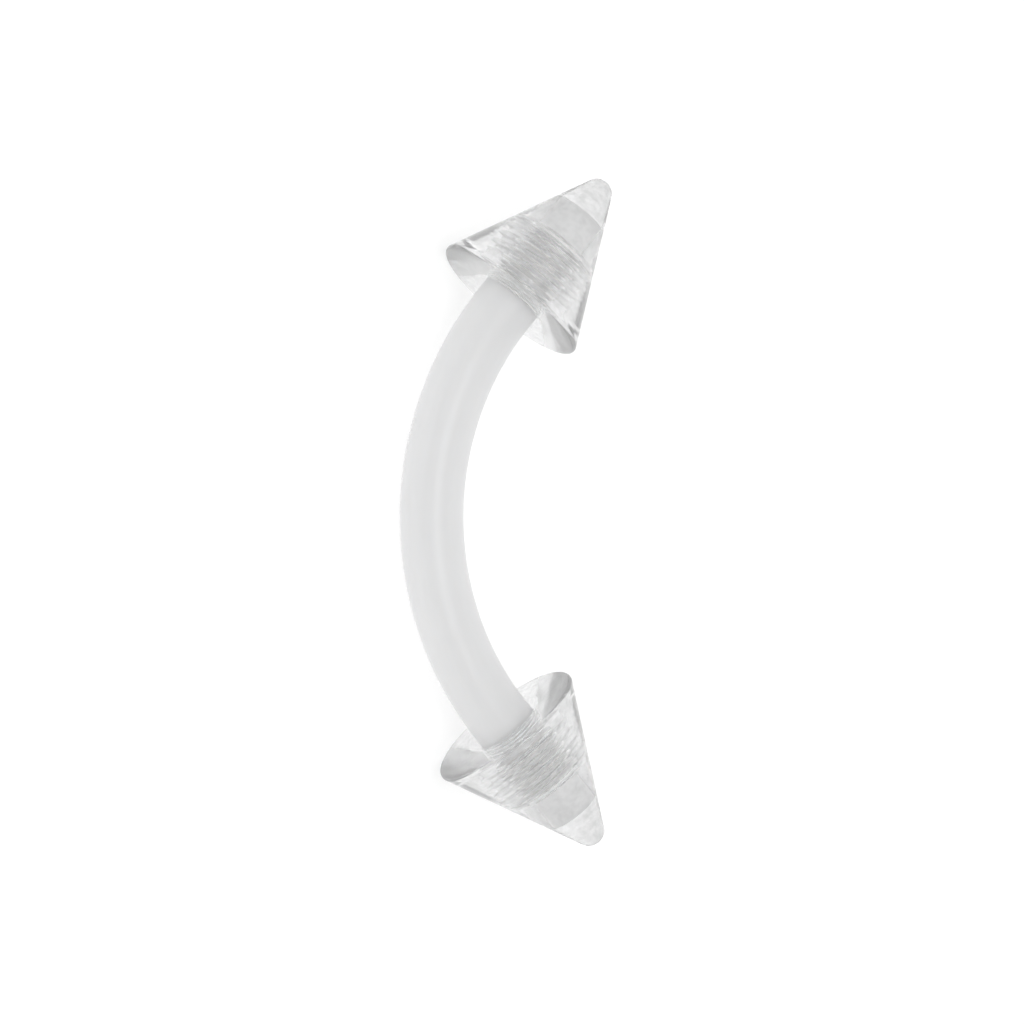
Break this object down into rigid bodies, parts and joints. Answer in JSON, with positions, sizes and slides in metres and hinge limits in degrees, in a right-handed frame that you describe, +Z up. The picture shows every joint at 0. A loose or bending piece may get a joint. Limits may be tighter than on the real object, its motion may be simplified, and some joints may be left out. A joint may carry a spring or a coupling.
{
  "type": "curved eyebrow barbell",
  "caption": "Small curved barbell: a milky bent plastic bar with a clear cone screwed on at either end, for an eyebrow piercing.",
  "frame": {"origin": "on the surface that the barbell rests on, under the middle of its bounding box", "axes": "+X runs along the line between the two cones, from the upper cone of the picture to the lower one; +Y is the side that the tips point to, and -Y the side of the bow; +Z is up. The barbell rests on the rims of both cones and the underside of its bow, so its plane leans by 33.6 degrees and the tips are raised"},
  "size_m": [0.0128, 0.0036, 0.0029],
  "materials": {
    "bar_plastic": "milky, slightly see-through white plastic, smooth with a soft sheen",
    "clear_acrylic": "polished, colourless, clear acrylic"
  },
  "bodies": {
    "bar": {"curved_bar": "bar_plastic"},
    "upper_end": {"upper_cone": "clear_acrylic"},
    "lower_end": {"lower_cone": "clear_acrylic"}
  },
  "joints": [
    {"name": "upper_cone_unscrew", "type": "slide", "parent": "bar", "child": "upper_end", "axis": [-0.7639, 0.5375, 0.3572], "range_m": [0, 0.001]},
    {"name": "lower_cone_unscrew", "type": "slide", "parent": "bar", "child": "lower_end", "axis": [0.7639, 0.5375, 0.3572], "range_m": [0, 0.001]}
  ]
}
